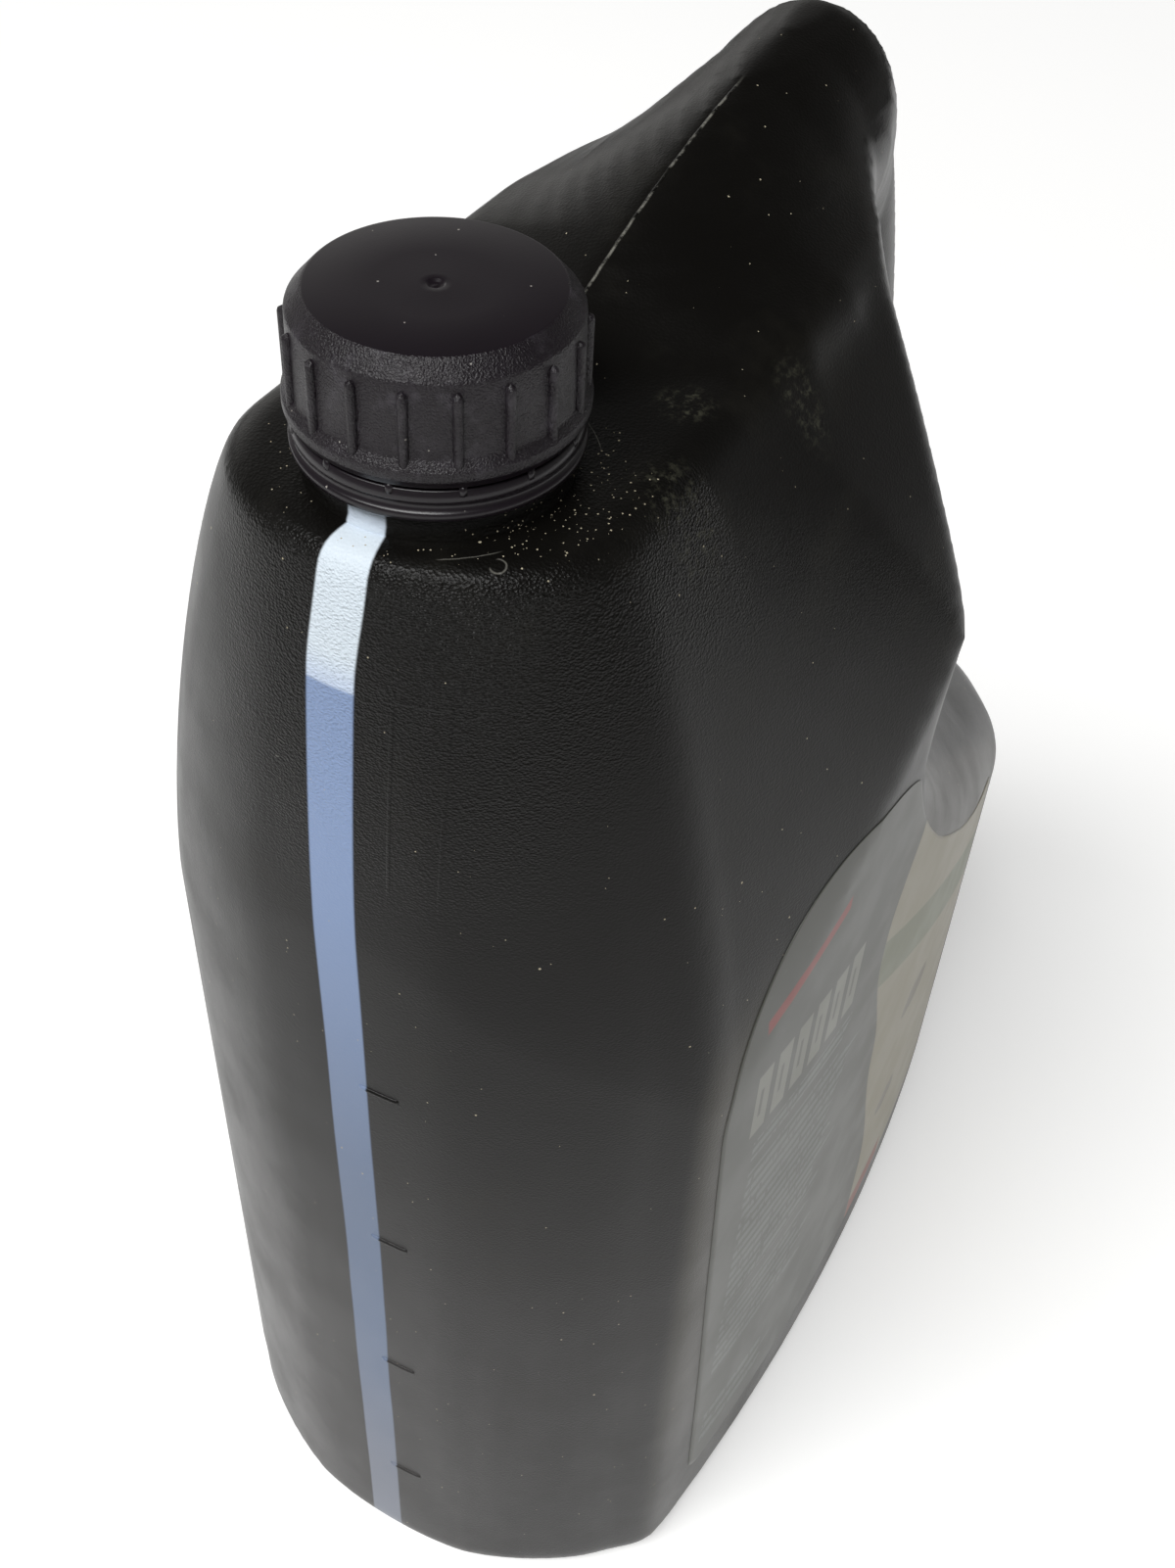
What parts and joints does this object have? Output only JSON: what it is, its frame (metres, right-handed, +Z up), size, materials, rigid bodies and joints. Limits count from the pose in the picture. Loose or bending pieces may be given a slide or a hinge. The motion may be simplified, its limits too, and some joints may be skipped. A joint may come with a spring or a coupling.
{
  "type": "chain oil bottle",
  "caption": "Black blow-moulded oil canister with a back grip, finger hole, view stripe, screw cap, tamper ring and film labels on both wide faces.",
  "frame": {"origin": "middle of the bottle's plan, on the surface it stands on", "axes": "+X from the front face with the view stripe to the back with the grip, +Y across the two label faces, +Z up"},
  "size_m": [0.2163, 0.122, 0.3026],
  "materials": {
    "black_shell": "satin, finely grained",
    "black_cap": "satin, stippled skirt and smooth top",
    "oil": "clear amber liquid",
    "liner_foam": "matt foam",
    "label_film": "satin printed film"
  },
  "bodies": {
    "canister": {"bottle": "black_shell", "chain_oil": "oil", "tamper_ring": "black_cap", "front_label": "label_film", "back_label": "label_film"},
    "lifting_liner": {"cap_liner": "liner_foam"},
    "turning_cap": {"screw_cap": "black_cap"}
  },
  "joints": [
    {"name": "cap_lift", "type": "slide", "parent": "canister", "child": "lifting_liner", "axis": [0, 0, 1], "range_m": [0, 0.0141]},
    {"name": "cap_turn", "type": "hinge", "parent": "lifting_liner", "child": "turning_cap", "pos_m": [-0.07725, 0, 0.281], "axis": [0, 0, 1], "range_deg": [0, 1260]}
  ],
  "couplings": [
    {"joint": "cap_lift", "follows": "cap_turn", "m_per_rad": 0.00063662}
  ]
}
